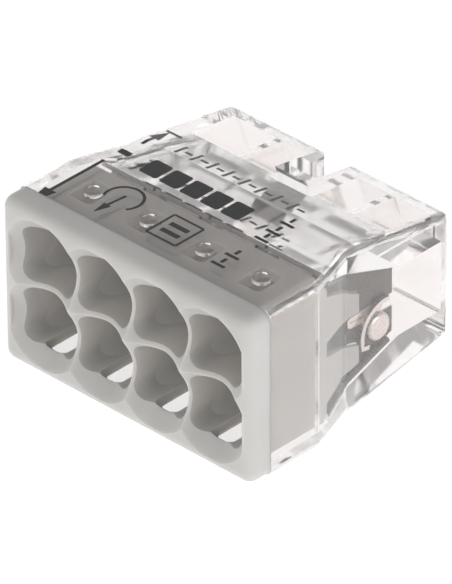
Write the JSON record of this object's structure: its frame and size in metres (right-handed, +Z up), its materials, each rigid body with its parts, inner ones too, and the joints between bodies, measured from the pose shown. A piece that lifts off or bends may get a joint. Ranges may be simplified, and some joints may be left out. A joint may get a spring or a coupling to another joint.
{
  "type": "push-in splicing connector",
  "caption": "Compact push-in wire splicing connector with a clear housing, a grey entry cover with funnels, a common busbar and a sprung clamp behind every wire entry.",
  "frame": {"origin": "centre of the underside of the whole connector", "axes": "+X across the columns of wire entries, +Y from the entry face towards the back, +Z up"},
  "size_m": [0.0182, 0.0164, 0.0102],
  "materials": {
    "clear_plastic": "clear moulded polycarbonate, glossy",
    "grey_plastic": "light grey moulded polyamide, satin",
    "tinned_copper": "tin-plated copper strip with bare cut edges",
    "spring_steel": "rolled stainless spring steel"
  },
  "bodies": {
    "connector": {"clear_housing": "clear_plastic", "wire_entry_cover": "grey_plastic", "busbar": "tinned_copper", "spring_anchor_upper_1": "spring_steel", "spring_anchor_upper_2": "spring_steel", "spring_anchor_upper_3": "spring_steel", "spring_anchor_upper_4": "spring_steel", "spring_anchor_lower_1": "spring_steel", "spring_anchor_lower_2": "spring_steel", "spring_anchor_lower_3": "spring_steel", "spring_anchor_lower_4": "spring_steel"},
    "tongue_upper_1": {"clamp_tongue_upper_1": "spring_steel"},
    "tongue_upper_2": {"clamp_tongue_upper_2": "spring_steel"},
    "tongue_upper_3": {"clamp_tongue_upper_3": "spring_steel"},
    "tongue_upper_4": {"clamp_tongue_upper_4": "spring_steel"},
    "tongue_lower_1": {"clamp_tongue_lower_1": "spring_steel"},
    "tongue_lower_2": {"clamp_tongue_lower_2": "spring_steel"},
    "tongue_lower_3": {"clamp_tongue_lower_3": "spring_steel"},
    "tongue_lower_4": {"clamp_tongue_lower_4": "spring_steel"}
  },
  "joints": [
    {"name": "clamp_upper_1", "type": "hinge", "parent": "connector", "child": "tongue_upper_1", "pos_m": [-0.00607, -0.0012, 0.00852], "axis": [1, 0, 0], "range_deg": [0, 31], "stiffness_Nm_per_rad": 0.02, "springref_deg": -11.46},
    {"name": "clamp_upper_2", "type": "hinge", "parent": "connector", "child": "tongue_upper_2", "pos_m": [-0.00202, -0.0012, 0.00852], "axis": [1, 0, 0], "range_deg": [0, 31], "stiffness_Nm_per_rad": 0.02, "springref_deg": -11.46},
    {"name": "clamp_upper_3", "type": "hinge", "parent": "connector", "child": "tongue_upper_3", "pos_m": [0.00202, -0.0012, 0.00852], "axis": [1, 0, 0], "range_deg": [0, 31], "stiffness_Nm_per_rad": 0.02, "springref_deg": -11.46},
    {"name": "clamp_upper_4", "type": "hinge", "parent": "connector", "child": "tongue_upper_4", "pos_m": [0.00607, -0.0012, 0.00852], "axis": [1, 0, 0], "range_deg": [0, 31], "stiffness_Nm_per_rad": 0.02, "springref_deg": -11.46},
    {"name": "clamp_lower_1", "type": "hinge", "parent": "connector", "child": "tongue_lower_1", "pos_m": [-0.00607, -0.0012, 0.00168], "axis": [-1, 0, 0], "range_deg": [0, 31], "stiffness_Nm_per_rad": 0.02, "springref_deg": -11.46},
    {"name": "clamp_lower_2", "type": "hinge", "parent": "connector", "child": "tongue_lower_2", "pos_m": [-0.00202, -0.0012, 0.00168], "axis": [-1, 0, 0], "range_deg": [0, 31], "stiffness_Nm_per_rad": 0.02, "springref_deg": -11.46},
    {"name": "clamp_lower_3", "type": "hinge", "parent": "connector", "child": "tongue_lower_3", "pos_m": [0.00202, -0.0012, 0.00168], "axis": [-1, 0, 0], "range_deg": [0, 31], "stiffness_Nm_per_rad": 0.02, "springref_deg": -11.46},
    {"name": "clamp_lower_4", "type": "hinge", "parent": "connector", "child": "tongue_lower_4", "pos_m": [0.00607, -0.0012, 0.00168], "axis": [-1, 0, 0], "range_deg": [0, 31], "stiffness_Nm_per_rad": 0.02, "springref_deg": -11.46}
  ]
}
